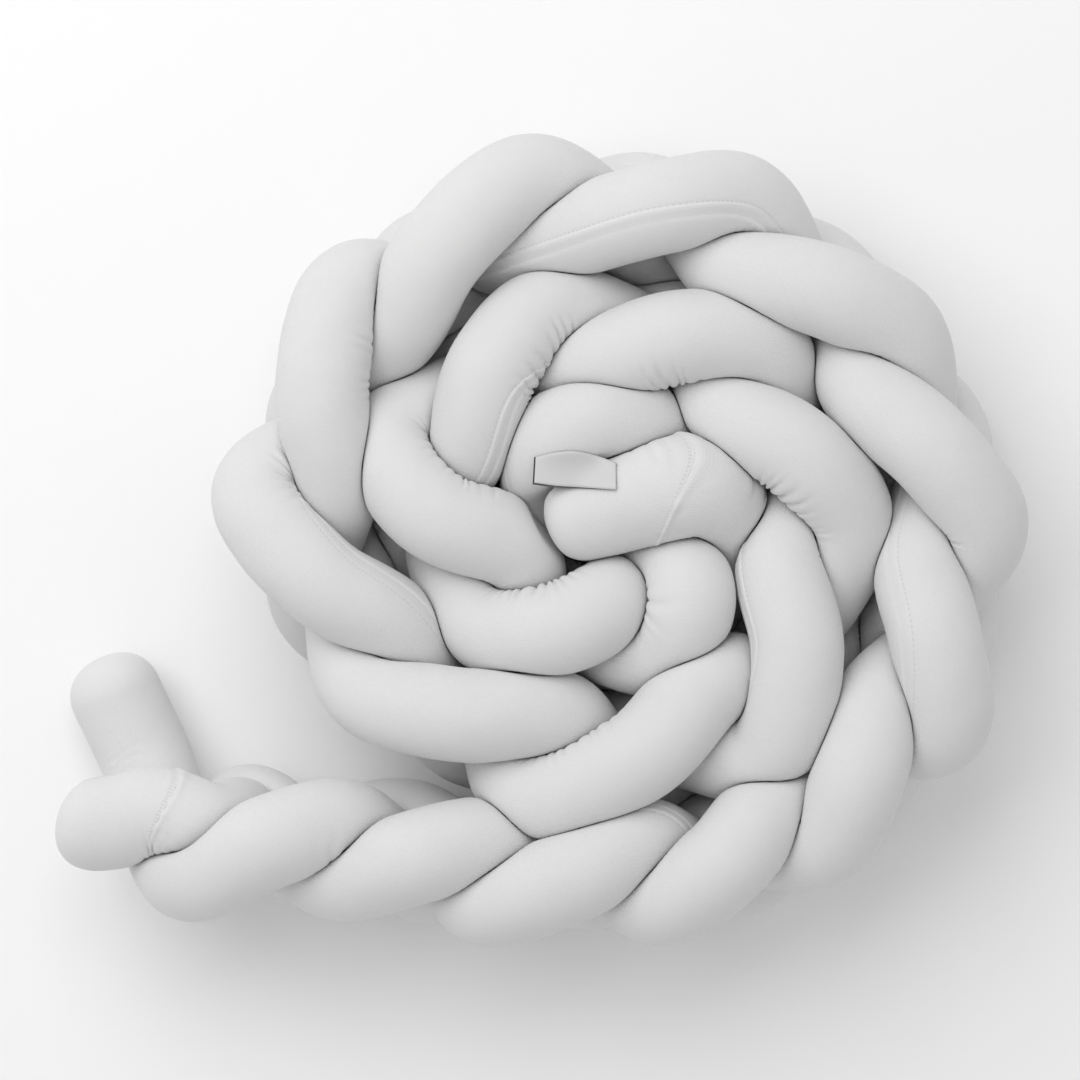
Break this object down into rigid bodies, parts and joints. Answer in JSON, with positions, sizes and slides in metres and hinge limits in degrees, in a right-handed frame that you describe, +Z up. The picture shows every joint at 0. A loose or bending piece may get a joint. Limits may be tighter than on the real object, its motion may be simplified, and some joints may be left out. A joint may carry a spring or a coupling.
{
  "type": "crib bumper",
  "caption": "Crib bumper of filled jersey tubes plaited flat, standing on the plait's edge and laid in a coil, with a short tail whose free ends stick out.",
  "frame": {"origin": "middle of the outline seen from above, on the surface the bumper rests on", "axes": "+Z up, +X along the longest side away from the tail's free ends, +Y across it towards the side the tail does not run along"},
  "size_m": [0.6824, 0.571, 0.1802],
  "materials": {
    "jersey": "matt knitted cotton",
    "woven_tape": "smooth woven tape"
  },
  "bodies": {
    "root": {"strand_a": "jersey", "strand_b": "jersey", "strand_c": "jersey", "end_cap_a": "jersey", "end_cap_b": "jersey", "label": "woven_tape"}
  },
  "joints": []
}
